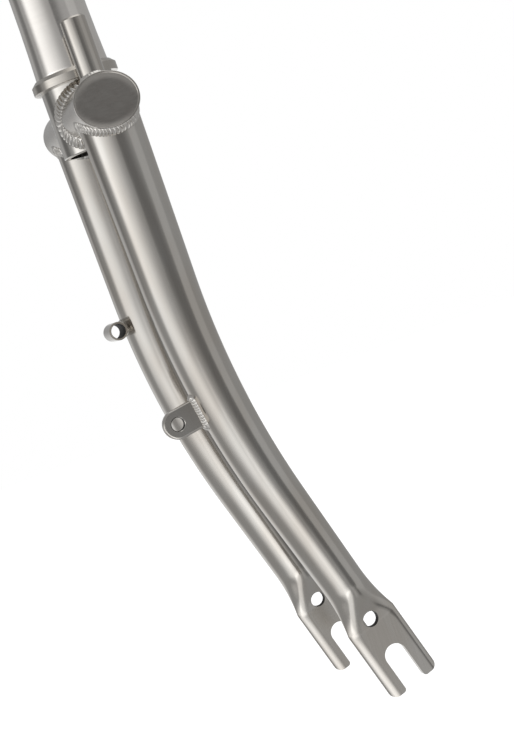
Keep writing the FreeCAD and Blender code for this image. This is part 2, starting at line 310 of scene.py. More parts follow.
def change_where(tree, shader, mask, name, value):
    """Gives one of the shader's inputs another value where the mask is 1.

    The numbers are the mix node's inputs for both values and its output, for colours or for plain numbers.
    """
    kind, before, after, result = ("RGBA", 6, 7, 2) if name == "Base Color" else ("FLOAT", 2, 3, 0)
    mix = add(tree, "ShaderNodeMix", {"data_type": kind}, {
        0: mask, before: shader.inputs[name].links[0].from_socket, after: value})
    tree.links.new(mix.outputs[result], shader.inputs[name])


def paint_bore_wall_shade(tree, shader, bores):
    """Walls of bores within each radius of a crosswise axis: coarse metal as drilled, with painted shade, a
    dark colour for the shade inside each hole.
    """
    place = add(tree, "ShaderNodeSeparateXYZ", None, {"Vector": surface_place(tree, (1, 1, 1))}).outputs
    inside = 0.0
    for x, z, radius in bores:
        fore = add(tree, "ShaderNodeMath", {"operation": "SUBTRACT"}, {0: place["X"], 1: x}).outputs[0]
        rise = add(tree, "ShaderNodeMath", {"operation": "SUBTRACT"}, {0: place["Z"], 1: z}).outputs[0]
        from_axis = add(tree, "ShaderNodeCombineXYZ", None, {"X": fore, "Z": rise}).outputs[0]
        away = add(tree, "ShaderNodeVectorMath", {"operation": "LENGTH"}, {0: from_axis}).outputs["Value"]
        wall = add(tree, "ShaderNodeMath", {"operation": "LESS_THAN"}, {0: away, 1: radius + BORE_MARGIN})
        inside = add(tree, "ShaderNodeMath", {"operation": "MAXIMUM"},
                     {0: inside, 1: wall.outputs[0]}).outputs[0]
    # Painted shade: the walls of the holes are coloured dark for the shade inside them.
    change_where(tree, shader, inside, "Base Color", linear(BORE_WALL_SHADE_COLOUR))
    change_where(tree, shader, inside, "Roughness", DRILLED_ROUGHNESS)


def satin_titanium_tube(colour, bores):
    """Titanium tube rubbed lengthwise with fine abrasive cloth: soft streaks down its length.

    The real scratches are about 0.02 mm apart. They are drawn 0.5 mm apart so that they show.
    The cloth doesn't reach the walls of the bores, which stay coarse from the drill and get painted shade, a
    dark colour for the shade inside the holes.
    """
    material, tree = new_material("satin_titanium_tube")
    along = surface_place(tree, (1.9, 1.9, 0.05))
    streaks = add(tree, "ShaderNodeTexNoise", None, {
        "Vector": along, "Scale": 1.0, "Detail": 3.0, "Roughness": 0.6}).outputs[0]
    patches = add(tree, "ShaderNodeTexNoise", None, {
        "Vector": surface_place(tree, (0.10, 0.10, 0.03)), "Scale": 1.0, "Detail": 2.0}).outputs[0]
    clouds = add(tree, "ShaderNodeMapRange", None, {
        "Value": patches, "From Min": 0.35, "From Max": 0.65, "To Min": 0.0, "To Max": 1.0}).outputs[0]
    shader = metal_surface(tree, colour, roughness=0.165, swing=0.03, lines=streaks, depth=0.002,
                           clouds=clouds, tint=linear("#F7F4F1"))
    paint_bore_wall_shade(tree, shader, bores)
    return material


def turned_titanium(colour, below):
    """Titanium turned in a lathe and buffed: fine rings round its length, brighter than the tube.

    A finishing cut leaves rings about 0.1 mm apart. They are drawn 0.6 mm apart so that they show.
    Under the race, where the buffing stopped, it has the darker colour of the other tubes.
    """
    material, tree = new_material("turned_titanium")
    rings = add(tree, "ShaderNodeTexNoise", None, {
        "Vector": surface_place(tree, (0.03, 0.03, 1.6)), "Scale": 1.0, "Detail": 3.0}).outputs[0]
    patches = add(tree, "ShaderNodeTexNoise", None, {
        "Vector": surface_place(tree, (0.08, 0.08, 0.08)), "Scale": 1.0, "Detail": 2.0}).outputs[0]
    shader = metal_surface(tree, colour, roughness=0.13, swing=0.02, lines=rings, depth=0.002,
                           clouds=patches, tint=linear("#F5F3F1"))
    place = add(tree, "ShaderNodeSeparateXYZ", None, {"Vector": surface_place(tree, (1, 1, 1))}).outputs
    under = add(tree, "ShaderNodeMath", {"operation": "LESS_THAN"}, {0: place["Z"], 1: RACE_UNDERSIDE_AT})
    change_where(tree, shader, under.outputs[0], "Base Color", below)
    return material


def faced_titanium(colour):
    """Titanium disc faced flat and wiped with abrasive cloth: faint curved marks and a few dull spots.

    The cloth's marks are about 0.02 mm apart. They are drawn 0.5 mm apart so that they show.
    """
    material, tree = new_material("faced_titanium")
    arcs = add(tree, "ShaderNodeTexNoise", None, {
        "Vector": surface_place(tree, (0.35, 1.0, 2.2)), "Scale": 1.0, "Detail": 4.0,
        "Roughness": 0.62, "Distortion": 0.8}).outputs[0]
    patches = add(tree, "ShaderNodeTexNoise", None, {
        "Vector": surface_place(tree, (0.22, 0.22, 0.22)), "Scale": 1.0, "Detail": 3.0}).outputs[0]
    metal_surface(tree, colour, roughness=0.20, swing=0.05, lines=arcs, depth=0.008,
                  clouds=patches, tint=linear("#F0ECEA"))
    return material


def welded_titanium(colour):
    """Titanium weld metal as it froze under argon: bright and smooth, with a faint straw tint in patches.

    Its grains are about 0.7 mm across.
    """
    material, tree = new_material("welded_titanium")
    grain = add(tree, "ShaderNodeTexNoise", None, {
        "Vector": surface_place(tree, (1.4, 1.4, 1.4)), "Scale": 1.0, "Detail": 3.0}).outputs[0]
    patches = add(tree, "ShaderNodeTexNoise", None, {
        "Vector": surface_place(tree, (0.3, 0.3, 0.3)), "Scale": 1.0, "Detail": 2.0}).outputs[0]
    metal_surface(tree, colour, roughness=0.12, swing=0.03, lines=grain, depth=0.01,
                  clouds=patches, tint=linear("#F3F0EB"))
    return material


def ground_steel(colour):
    """Bearing steel ground on a cylindrical grinder: close rings and a cooler grey than titanium.

    The grit leaves rings about 0.03 mm apart. They are drawn 0.4 mm apart so that they show.
    """
    material, tree = new_material("ground_steel")
    rings = add(tree, "ShaderNodeTexNoise", None, {
        "Vector": surface_place(tree, (0.05, 0.05, 2.5)), "Scale": 1.0, "Detail": 3.0}).outputs[0]
    patches = add(tree, "ShaderNodeTexNoise", None, {
        "Vector": surface_place(tree, (0.2, 0.2, 0.2)), "Scale": 1.0, "Detail": 2.0}).outputs[0]
    metal_surface(tree, colour, roughness=0.17, swing=0.03, lines=rings, depth=0.004,
                  clouds=patches, tint=linear("#F4F2EF"))
    return material


# Surfaces of the tubes: each gives the gap from points to itself and its outward directions.
# hand is -1 on the rider's right and 1 on the left.

def steerer_seat(p):
    """The seat of the crown race, a round tube."""
    across = np.hypot(p[:, 0], p[:, 1])
    out = np.stack([p[:, 0] / across, p[:, 1] / across, np.zeros(len(p))], axis=1)
    return across - SEAT_RADIUS, out


def crossbar(p):
    """The oval crossbar, all through the steerer."""
    x = p[:, 0]
    z = p[:, 2] - CROSSBAR_HEIGHT_AT
    level = np.sqrt((x / CROSSBAR_HALF_WIDTH) ** 2 + (z / CROSSBAR_HALF_HEIGHT) ** 2)
    slope = np.stack([x / CROSSBAR_HALF_WIDTH ** 2, np.zeros(len(p)), z / CROSSBAR_HALF_HEIGHT ** 2], axis=1)
    slope /= level[:, None]
    steep = np.linalg.norm(slope, axis=1)
    return (level - 1) / steep, slope / steep[:, None]


def blade_place(run, hand):
    """Centre and forward direction of the blade at this length down from the crossbar's axis."""
    turn = np.clip(run - BEND_START, 0, BEND_LENGTH) / BEND_RADIUS
    past = np.maximum(run - BEND_START - BEND_LENGTH, 0)
    lateral = BLADE_LATERAL + (TIP_LATERAL - BLADE_LATERAL) * np.minimum(run / FLAT_RUN, 1)
    x = BLADE_FORWARD + BEND_RADIUS * (1 - np.cos(turn)) + past * np.sin(turn)
    z = CROSSBAR_HEIGHT_AT - np.minimum(run, BEND_START) - BEND_RADIUS * np.sin(turn) - past * np.cos(turn)
    centre = np.stack([x, hand * lateral, z], axis=-1)
    forward = np.stack([np.cos(turn), np.zeros_like(turn), np.sin(turn)], axis=-1)
    return centre, forward


def blade_radius(run):
    """Radius of the blade's round part, which tapers as far as the press."""
    return BLADE_TOP_RADIUS + (BLADE_SMALL_RADIUS - BLADE_TOP_RADIUS) * run / PRESS_RUN


def blade(hand):
    """A blade's round part, with its bend."""
    def surface(p):
        above = CROSSBAR_HEIGHT_AT - p[:, 2]
        round_bend = BEND_START + BEND_RADIUS * np.arctan2(
            above - BEND_START, BLADE_FORWARD + BEND_RADIUS - p[:, 0])
        run = np.where(above < BEND_START, above, round_bend)
        centre, forward = blade_place(run, hand)
        away = p - centre
        fore = (away * forward).sum(axis=1)
        side = away[:, 1]
        across = np.hypot(fore, side)
        out = (forward * fore[:, None] + np.array([0, 1, 0]) * side[:, None]) / across[:, None]
        return across - blade_radius(run), out
    return surface


def post(hand):
    """A post on the crossbar."""
    def surface(p):
        x = p[:, 0] - BLADE_FORWARD
        y = p[:, 1] - hand * BLADE_LATERAL
        across = np.hypot(x, y)
        return across - POST_RADIUS, np.stack([x / across, y / across, np.zeros(len(p))], axis=1)
    return surface


def fitting_axes(run, hand):
    """Blade's centre, its forward and its downward direction where a fitting is welded on."""
    centre, forward = blade_place(np.array(run), hand)
    down = np.array([forward[2], 0, -forward[0]])
    return centre, forward, down


def lug(hand):
    """The lug's straight part, as a rounded block: the higher the power, the squarer its corners."""
    centre, _, down = fitting_axes(LUG_RUN, hand)
    power = 6
    least = 0.01

    def surface(p):
        away = p - centre
        side = away[:, 1] / LUG_HALF_THICKNESS
        drop = (away @ down) / LUG_ROUND
        level = (np.abs(side) ** power + np.abs(drop) ** power) ** (1 / power)
        level = np.maximum(level, least)
        slope_side = np.sign(side) * (np.abs(side) / level) ** (power - 1) / LUG_HALF_THICKNESS
        slope_drop = np.sign(drop) * (np.abs(drop) / level) ** (power - 1) / LUG_ROUND
        slope = np.outer(slope_side, [0, 1, 0]) + np.outer(slope_drop, down)
        steep = np.linalg.norm(slope, axis=1)
        return (level - 1) / steep, slope / steep[:, None]
    return surface


def guide_centre(hand):
    """Middle of the cable guide's bore."""
    centre, forward = blade_place(np.array(GUIDE_RUN), hand)
    return centre - forward * (blade_radius(GUIDE_RUN) + GUIDE_RADIUS - GUIDE_BITE)


def lug_eye(hand):
    """Middle of the lug's hole."""
    centre, forward = blade_place(np.array(LUG_RUN), hand)
    return centre - forward * (blade_radius(LUG_RUN) + LUG_OUT_OF_BLADE)


def bore_axes():
    """Forward place, height and radius of each crosswise bore."""
    eyelet = blade_place(np.array(EYELET_RUN), -1)[0]
    holes = ((eyelet, EYELET_RADIUS), (lug_eye(-1), LUG_HOLE_RADIUS), (guide_centre(1), GUIDE_BORE_RADIUS))
    return [(float(centre[0]), float(centre[2]), radius) for centre, radius in holes]


def guide(hand):
    """The cable guide's tube."""
    centre = guide_centre(hand)

    def surface(p):
        x = p[:, 0] - centre[0]
        z = p[:, 2] - centre[2]
        across = np.hypot(x, z)
        return across - GUIDE_RADIUS, np.stack([x / across, np.zeros(len(p)), z / across], axis=1)
    return surface


# Weld beads

# The surfaces are met in turn this many times, until a point lies on both
MEETING_ROUNDS = 40

# Ripples: the spread of their spacing and height, how many pitches a crescent's middle lags behind its
# ends, how blunt its back is, and the level that backs and hollows lie round
RIPPLE_SPACING = (0.75, 1.25)
RIPPLE_HEIGHT = (0.6, 1.25)
RIPPLE_LAG = 0.42
RIPPLE_BLUNTNESS = 0.55
RIPPLE_LEVEL = 0.55
FEWEST_RIPPLES = 6

# A bead's edge: slow waves round it, a small scallop at each ripple, how deep the edge lies in its surface,
# and how deep the bead's root lies in both surfaces
EDGE_WAVES = (2, 3, 5, 7)
EDGE_WANDER = 0.10
EDGE_SCALLOP = 0.10
SCALLOP_LEVEL = 0.6
EDGE_SINK = 0.04
ROOT_SINK = 0.3


def on_both(p, first, second):
    """The points moved onto the line where two surfaces meet, with both outward directions."""
    for _ in range(MEETING_ROUNDS):
        gap, out = first(p)
        p = p - out * gap[:, None]
        gap, out = second(p)
        p = p - out * gap[:, None]
    return p, first(p)[1], second(p)[1]


def closed_run(ring):
    """A ring with its first point repeated at its end, and the length run at each of its points."""
    closed = np.vstack([ring, ring[:1]])
    return closed, np.concatenate([[0], np.cumsum(np.linalg.norm(np.diff(closed, axis=0), axis=1))])


def set_out(ring, count):
    """A ring set out again as this many evenly spaced points, with the length run at each."""
    closed, run = closed_run(ring)
    at = np.arange(count) * run[-1] / count
    return np.stack([np.interp(at, run, values) for values in closed.T], axis=1), at


def even_steps(ring, step):
    """A ring set out again at about this step, with the length run at each point."""
    return set_out(ring, int(round(closed_run(ring)[1][-1] / step)))


def ripple_marks(length, pitch, rng):
    """Where each ripple starts round the bead, unevenly as by hand."""
    count = max(FEWEST_RIPPLES, int(round(length / pitch)))
    steps = rng.uniform(*RIPPLE_SPACING, count)
    return np.concatenate([[0], np.cumsum(steps)]) * length / steps.sum()


def bead(name, node, first, second, seeds, legs, crown, pitch, height, seed):
    """A bead with overlapping crescent ripples along the line where two surfaces meet.

    The seeds are points near that line. The legs are how far the bead reaches along each surface, and the
    crown is how full it is between them. Pitch and height are those of its ripples.
    """
    rng = np.random.default_rng(seed)
    ring, _ = even_steps(on_both(seeds, first, second)[0], SEED_STEP)
    ring = on_both(ring, first, second)[0]
    length = closed_run(ring)[1][-1]
    ring, at = even_steps(ring, BEAD_STEP)
    ring, out_first, out_second = on_both(ring, first, second)
    out_both = out_first + out_second
    between = out_both / np.linalg.norm(out_both, axis=1)[:, None]
    along = np.roll(ring, -1, axis=0) - np.roll(ring, 1, axis=0)
    along /= np.linalg.norm(along, axis=1)[:, None]
    to_first = np.cross(along, out_first)
    to_first *= np.sign((to_first * out_second).sum(axis=1))[:, None]
    to_second = np.cross(along, out_second)
    to_second *= np.sign((to_second * out_first).sum(axis=1))[:, None]
    marks = ripple_marks(length, pitch, rng)
    tall = rng.uniform(*RIPPLE_HEIGHT, len(marks))
    wander = EDGE_WANDER * sum(
        rng.uniform(-1, 1) * np.sin(2 * math.pi * (waves * at / length + rng.uniform())) / waves
        for waves in EDGE_WAVES)
    rows = []
    for t in np.linspace(0, 1, BEAD_ACROSS + 1):
        v = 2 * t - 1
        place = (at - RIPPLE_LAG * pitch * (1 - v * v)) % length
        step = np.interp(place, marks, np.arange(len(marks)))
        lobe = np.abs(np.sin(math.pi * (step % 1))) ** RIPPLE_BLUNTNESS
        lift = height * tall[step.astype(int)] * (lobe - RIPPLE_LEVEL) * (1 - v ** 4)
        reach = 1 + wander + EDGE_SCALLOP * (lobe - SCALLOP_LEVEL)
        edges = []
        for surface, towards, leg in ((first, to_first, legs[0]), (second, to_second, legs[1])):
            edge = ring + towards * (leg * reach)[:, None]
            gap, out = surface(edge)
            edges.append(edge - out * (gap + EDGE_SINK)[:, None])
        start, end = edges
        corner = ring + (start + end - 2 * ring) * crown
        curve = start * (1 - t) ** 2 + corner * 2 * t * (1 - t) + end * t ** 2
        rows.append(curve + between * lift[:, None])
    rows.append(ring - out_both * ROOT_SINK)
    faces = ring_faces(len(rows), len(ring), closed=True)
    metal = bpy.data.materials["welded_titanium"]
    piece = new_piece(name, np.vstack(rows), faces, metal, (node,))
    face_outward(piece, len(ring) * BEAD_ACROSS // 2, out_both[0])


def circle_seeds(centre, first_axis, second_axis):
    """Points round an ellipse, given its centre and half axes."""
    turn = np.linspace(0, 2 * math.pi, SEED_POINTS, endpoint=False)[:, None]
    return np.asarray(centre) + np.cos(turn) * np.asarray(first_axis) + np.sin(turn) * np.asarray(second_axis)


SIDES = (("right", -1), ("left", 1))

# Where the seeds of each bead lie: out along the crossbar, below and above its axis, inside the blade's
# radius, behind the blade's centre, and the half axes of the guide's own seeds
CROWN_SEEDS_OUT = 10.0
BLADE_SEEDS_BELOW = 8.0
BLADE_SEEDS_IN = 0.2
POST_SEEDS_ABOVE = 10.5
LUG_SEEDS_BEHIND = 10.0
GUIDE_SEEDS = (1.3, 2.2)


class FORK_OT_crown_welds(bpy.types.Operator):
    """Rippled beads where the crossbar's halves meet the steerer"""
    bl_idname = "fork.crown_welds"
    bl_label = "Crown welds"

    def execute(self, context):
        welds = context.scene.fork.welds
        leg = welds.crown_leg / MM
        for side, hand in SIDES:
            centre = (0, hand * CROWN_SEEDS_OUT, CROSSBAR_HEIGHT_AT)
            seeds = circle_seeds(centre, (CROSSBAR_HALF_WIDTH, 0, 0), (0, 0, CROSSBAR_HALF_HEIGHT))
            bead("crown_bead_" + side, "crown_weld_" + side, steerer_seat, crossbar, seeds,
                 legs=(leg * 1.2, leg * 1.1), crown=0.60, pitch=welds.crown_pitch / MM, height=0.80,
                 seed=welds.seed + hand)
        return {"FINISHED"}


class FORK_OT_blade_welds(bpy.types.Operator):
    """Rippled beads where the blades meet the crossbar"""
    bl_idname = "fork.blade_welds"
    bl_label = "Blade welds"

    def execute(self, context):
        welds = context.scene.fork.welds
        leg = welds.blade_leg / MM
        radius = BLADE_TOP_RADIUS - BLADE_SEEDS_IN
        for side, hand in SIDES:
            centre = (BLADE_FORWARD, hand * BLADE_LATERAL, CROSSBAR_HEIGHT_AT - BLADE_SEEDS_BELOW)
            seeds = circle_seeds(centre, (radius, 0, 0), (0, radius, 0))
            bead("blade_bead_" + side, "blade_weld_" + side, crossbar, blade(hand), seeds,
                 legs=(leg, leg), crown=0.60, pitch=welds.blade_pitch / MM, height=0.66,
                 seed=welds.seed + 10 + hand)
        return {"FINISHED"}


class FORK_OT_post_welds(bpy.types.Operator):
    """Smooth beads round the feet of the posts"""
    bl_idname = "fork.post_welds"
    bl_label = "Post welds"

    def execute(self, context):
        welds = context.scene.fork.welds
        leg = welds.post_leg / MM
        for side, hand in SIDES:
            centre = (BLADE_FORWARD, hand * BLADE_LATERAL, CROSSBAR_HEIGHT_AT + POST_SEEDS_ABOVE)
            seeds = circle_seeds(centre, (POST_RADIUS, 0, 0), (0, POST_RADIUS, 0))
            bead("post_bead_" + side, "post_weld_" + side, post(hand), crossbar, seeds,
                 legs=(leg, leg), crown=0.30, pitch=1.2, height=0.05, seed=welds.seed + 20 + hand)
        return {"FINISHED"}


class FORK_OT_fitting_welds(bpy.types.Operator):
    """Rippled beads round the lug and the cable guide"""
    bl_idname = "fork.fitting_welds"
    bl_label = "Lug and guide welds"

    def execute(self, context):
        welds = context.scene.fork.welds
        leg = welds.small_leg / MM
        centre, forward, down = fitting_axes(LUG_RUN, -1)
        behind = centre - forward * LUG_SEEDS_BEHIND
        seeds = circle_seeds(behind, down * LUG_ROUND, (0, LUG_HALF_THICKNESS, 0))
        bead("lug_bead", "lug_weld", lug(-1), blade(-1), seeds,
             legs=(leg * 0.9, leg * 1.3), crown=0.6, pitch=1.1, height=0.40, seed=welds.seed + 31)
        _, forward, down = fitting_axes(GUIDE_RUN, 1)
        tall, wide = GUIDE_SEEDS
        seeds = circle_seeds(guide_centre(1) + forward * GUIDE_RADIUS, down * tall, (0, wide, 0))
        bead("guide_bead", "guide_weld", guide(1), blade(1), seeds,
             legs=(leg * 1.5, leg * 1.5), crown=0.6, pitch=1.0, height=0.25, seed=welds.seed + 41)
        return {"FINISHED"}


# Blades

# The skin's rows are closer between these places above and below the eyelet. Its top end lies this deep in
# the crossbar. Edges that turn by more than this many degrees stay sharp.
FINE_ABOVE_EYELET = 16
FINE_BELOW_EYELET = 6
COPE_SINK = 0.4
SHARP_EDGE = 35

# How far the cutters reach: across the blade from its middle, past the tip's sides, and past its end
CUTTER_DEPTH = 8
CUTTER_PAST_SIDE = 4
CUTTER_PAST_END = 6


def ease(value, start, end):
    """0 before the start, 1 past the end, and a soft rise between them."""
    share = np.clip((value - start) / (end - start), 0, 1)
    return share * share * (3 - 2 * share)


def blade_outline(run, form):
    """Fore and side offsets round one section: two flats joined by half ellipses, at even steps."""
    spread = np.clip((run - SWAGE_RUN) / (FLAT_RUN - SWAGE_RUN), 0, 1) ** 2
    tube = blade_radius(min(run, PRESS_RUN))
    half_width = tube + (TIP_HALF_WIDTH - BLADE_SMALL_RADIUS) * spread
    pressed = ease(run, EYELET_RUN - form.press_start / MM, EYELET_RUN - form.press_end / MM)
    half_thickness = tube + (TIP_HALF_THICKNESS - BLADE_SMALL_RADIUS) * pressed
    fan = ease(run, EYELET_RUN - form.fan_start / MM, EYELET_RUN + form.fan_end / MM)
    turn = np.linspace(0, 2 * math.pi, OUTLINE_POINTS, endpoint=False)
    ahead = np.cos(turn)
    flat = (half_width - np.where(ahead > 0, form.front_edge, form.rear_edge) / MM) * fan
    fore = np.sign(ahead) * flat + (half_width - flat) * ahead
    side = half_thickness * np.sin(turn)
    return set_out(np.stack([fore, side], axis=1), SKIN_COLUMNS)[0].T


def blade_skin(hand, form):
    """Rings of the blade's skin from its cope under the crossbar down to its end."""
    fine_from = EYELET_RUN - FINE_ABOVE_EYELET
    fine_to = EYELET_RUN + FINE_BELOW_EYELET
    runs = np.concatenate([np.linspace(0, fine_from, SKIN_ROWS_ON_TUBE, endpoint=False),
                           np.linspace(fine_from, fine_to, SKIN_ROWS_IN_PRESS, endpoint=False),
                           np.linspace(fine_to, TIP_RUN, SKIN_ROWS_ON_TIP)])
    rows = []
    for run in runs:
        fore, side = blade_outline(run, form)
        centre, forward = blade_place(np.array(run), hand)
        rows.append(centre + forward * fore[:, None] + np.array([0, hand, 0]) * side[:, None])
    rows = np.array(rows)
    for column in range(SKIN_COLUMNS):
        gap = crossbar(rows[:SKIN_ROWS_AT_COPE, column])[0]
        first = int(np.argmax(gap > -COPE_SINK))
        share = (-COPE_SINK - gap[first - 1]) / (gap[first] - gap[first - 1])
        cope = rows[first - 1, column] * (1 - share) + rows[first, column] * share
        line = np.vstack([cope, rows[first:SKIN_ROWS_AT_COPE, column]])
        place = np.linspace(0, len(line) - 1, SKIN_ROWS_AT_COPE)
        spread = [np.interp(place, np.arange(len(line)), values) for values in line.T]
        rows[:SKIN_ROWS_AT_COPE, column] = np.stack(spread, axis=1)
    return rows


def arc_points(centre, radius, first, last, count=ROUND_POINTS):
    """Points along an arc between two angles in degrees."""
    turn = np.radians(np.linspace(first, last, count))
    return [(centre[0] + radius * math.cos(a), centre[1] + radius * math.sin(a)) for a in turn]


def slot_outline():
    """Outline of what the axle slot and the tongues' round ends leave away: fore and run, in order."""
    inner = AXLE_SLOT_RADIUS + TONGUE_INNER_ROUND
    outer = TIP_HALF_WIDTH - TONGUE_OUTER_ROUND
    beside = TIP_HALF_WIDTH + CUTTER_PAST_SIDE
    right = arc_points((inner, TIP_RUN - TONGUE_INNER_ROUND), TONGUE_INNER_ROUND, 180, 90)
    right += arc_points((outer, TIP_RUN - TONGUE_OUTER_ROUND), TONGUE_OUTER_ROUND, 90, 0)
    right += [(beside, TIP_RUN - TONGUE_OUTER_ROUND), (beside, TIP_RUN + CUTTER_PAST_END)]
    left = [(-fore, run) for fore, run in reversed(right)]
    return left + arc_points((0, AXLE_RUN), AXLE_SLOT_RADIUS, 180, 360, SLOT_POINTS) + right


def eyelet_outline():
    """Outline of the eyelet: fore and run, in order."""
    return arc_points((0, EYELET_RUN), EYELET_RADIUS, 0, 360, EYELET_POINTS + 1)[:-1]


def cut_away(context, piece, outline, hand):
    """Cuts a prism over an outline of fore and run out of the blade's tip."""
    centre, forward, down = fitting_axes(TIP_RUN, hand)
    points = []
    for y in (-CUTTER_DEPTH, CUTTER_DEPTH):
        for fore, run in outline:
            points.append(centre + forward * fore + down * (run - TIP_RUN) + np.array([0, y, 0]))
    count = len(outline)
    faces = [tuple(reversed(range(count))), tuple(range(count, 2 * count))]
    faces += [(i, (i + 1) % count, (i + 1) % count + count, i + count) for i in range(count)]
    mesh = bpy.data.meshes.new("cutter")
    mesh.from_pydata([tuple(p) for p in np.array(points) * MM], [], faces)
    cutter = bpy.data.objects.new("cutter", mesh)
    context.scene.collection.objects.link(cutter)
    cut = piece.modifiers.new("cut", "BOOLEAN")
    cut.operation = "DIFFERENCE"
    cut.solver = "EXACT"
    cut.object = cutter
    made = bpy.data.meshes.new_from_object(piece.evaluated_get(context.evaluated_depsgraph_get()))
    piece.modifiers.clear()
    piece.data = made
    bpy.data.objects.remove(cutter)


class FORK_OT_blades(bpy.types.Operator):
    """Blades whose tube runs smoothly out into the flat of the tip"""
    bl_idname = "fork.blades"
    bl_label = "Blades"

    def execute(self, context):
        form = context.scene.fork.blades
        metal = bpy.data.materials["satin_titanium_tube"]
        for side, hand in SIDES:
            points, faces = tube_mesh(blade_skin(hand, form))
            piece = new_piece("blade_skin_" + side, points, faces, metal, ("blade_" + side,))
            face_outward(piece, SKIN_ROWS_AT_COPE * SKIN_COLUMNS, (1, 0, 0))
            cut_away(context, piece, slot_outline(), hand)
            cut_away(context, piece, eyelet_outline(), hand)
            piece.data.set_sharp_from_angle(angle=math.radians(SHARP_EDGE))
        return {"FINISHED"}


# End caps

# A cap's rings run from CAP_INNER to CAP_SLOPE_END of its half width. Its face is flat out to CAP_FLAT and
# falls from there, by CAP_SLOPE_DROP of the edge drop if it went on to the full width.
CAP_INNER = 0.04
CAP_FLAT = 0.72
CAP_SLOPE_END = 0.985
CAP_SLOPE_DROP = 0.75

# The fused rim lies this share of the edge drop below the face. It is round over these angles in degrees,
# from its inner side to its outer one.
RIM_DEPTH = 0.55
RIM_ANGLES = range(150, -1, -15)


class FORK_OT_end_caps(bpy.types.Operator):
    """Oval end caps, faced flat in the middle and falling away softly at the edge"""
    bl_idname = "fork.end_caps"
    bl_label = "End caps"

    def execute(self, context):
        caps = context.scene.fork.caps
        metal = bpy.data.materials["faced_titanium"]
        gap = caps.gap / MM
        drop = caps.drop / MM
        lip = caps.lip / MM
        turn = np.linspace(0, 2 * math.pi, CAP_COLUMNS, endpoint=False)
        for side, hand in SIDES:
            low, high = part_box("end_cap_" + side)
            centre = (np.array(low) + np.array(high)) / 2 / MM
            half = (np.array(high) - np.array(low)) / 2 / MM
            rings = []
            for t in np.linspace(CAP_INNER, CAP_SLOPE_END, CAP_ROWS):
                past = max(0, (t - CAP_FLAT) / (1 - CAP_FLAT))
                rings.append((t, drop * CAP_SLOPE_DROP * past ** 2))
            for a in np.radians(RIM_ANGLES):
                rings.append((1 + (gap + lip * math.cos(a)) / half[0], drop * RIM_DEPTH - lip * math.sin(a)))
            rings += [(rings[-1][0], drop * 2), (1.0, drop * 2), (1.0, 2 * half[1])]
            rows = []
            for t, fall in rings:
                x = centre[0] + (half[0] - gap) * t * np.cos(turn)
                z = centre[2] + (half[2] - gap) * t * np.sin(turn)
                y = np.full(CAP_COLUMNS, centre[1] + hand * (half[1] - fall))
                rows.append(np.stack([x, y, z], axis=1))
            points, faces = tube_mesh(np.array(rows))
            piece = new_piece("cap_" + side, points, faces, metal, ("end_cap_" + side,))
            face_outward(piece, 0, (0, hand, 0))
        return {"FINISHED"}


# Finishes of the solids

class FORK_OT_finishes(bpy.types.Operator):
    """Makes the bare metals and gives each solid its own"""
    bl_idname = "fork.finishes"
    bl_label = "Metals"

    def execute(self, context):
        colours = context.scene.fork.finishes
        tube = satin_titanium_tube(colours.tube, bore_axes())
        turned = turned_titanium(colours.seat, colours.tube)
        faced_titanium(colours.tube)
        welded_titanium(colours.weld)
        steel = ground_steel(colours.race)
        metals = {"steerer_tube": turned, "crown_race": steel}
        for name, node in NODES.items():
            node.data.materials.clear()
            node.data.materials.append(metals.get(name, tube))
        return {"FINISHED"}


# Studio

# The camera, fitted to the photograph: metres, radians and pixels. The sensor's height is in millimetres.
CAMERA_AT = Vector((-0.141448, -0.732057, -0.090261))
CAMERA_TURN = -0.230
CAMERA_DROP = 0.062
CAMERA_ROLL = -0.344
FOCAL_PIXELS = 1841.394
PHOTO_HEIGHT = 742
SENSOR_HEIGHT = 36.0

# Brightness of the studio's wall, all round the fork
STUDIO_WALL = 0.38

# Soft lights, in degrees round the camera: name, centre right and up, turn, half length, half width,
# how soft the ends and the sides are, and how much brighter or darker than the wall each is
LIGHTS = (
    ("table", (-31, -28), -13, 50, 14, 20, 29, 0.88),
    ("table's near end", (6, -20), 0, 15, 8, 10, 16, 0.50),
    ("window", (-48, -9), 13, 34, 3, 34, 10, 0.74),
    ("camera side", (29, 8), 0, 25, 8, 3, 8, -0.20),
    ("tip's fill", (33, -8), 0, 7, 4, 6, 5, 0.16),
    ("right screen", (72, 12), 0, 18, 20, 6, 20, 0.12),
    ("low front", (24, -46), -54, 26, 16, 16, 12, 0.72),
    ("low left", (-20, -80), 0, 60, 14, 20, 16, 0.50),
    ("low right", (48, -23), -42, 16, 4, 8, 6, 0.12),
    ("low right gap", (60, -13), -44, 16, 4, 8, 6, -0.22),
    ("left gap", (-114, -10), 4, 14, 6, 12, 8, -0.20),
    ("table behind", (-165, -28), 0, 34, 18, 36, 24, 0.50),
    ("ceiling", (0, 90), 0, 200, 30, 20, 30, 0.75),
)

# The white backdrop. Metal doesn't mirror it beyond BACKDROP_EDGE degrees from straight behind the fork, and
# mirrors it fully within BACKDROP_FULL degrees.
BACKDROP_LIGHT = 1.0
BACKDROP_EDGE = 16
BACKDROP_FULL = 2

# The floor's half size and height in metres, and how much it glows for the camera
FLOOR_HALF = 6.0
FLOOR_AT = -0.6
FLOOR_GLOW = 0.66


def camera_axes():
    """Right, up and forward of the camera, in the fork's frame."""
    forward = Vector((-math.sin(CAMERA_TURN) * math.cos(CAMERA_DROP),
                      math.cos(CAMERA_TURN) * math.cos(CAMERA_DROP), -math.sin(CAMERA_DROP)))
    level = Vector((math.cos(CAMERA_TURN), math.sin(CAMERA_TURN), 0))
    upright = level.cross(forward)
    right = level * math.cos(CAMERA_ROLL) + upright * math.sin(CAMERA_ROLL)
    up = upright * math.cos(CAMERA_ROLL) - level * math.sin(CAMERA_ROLL)
    return right, up, forward


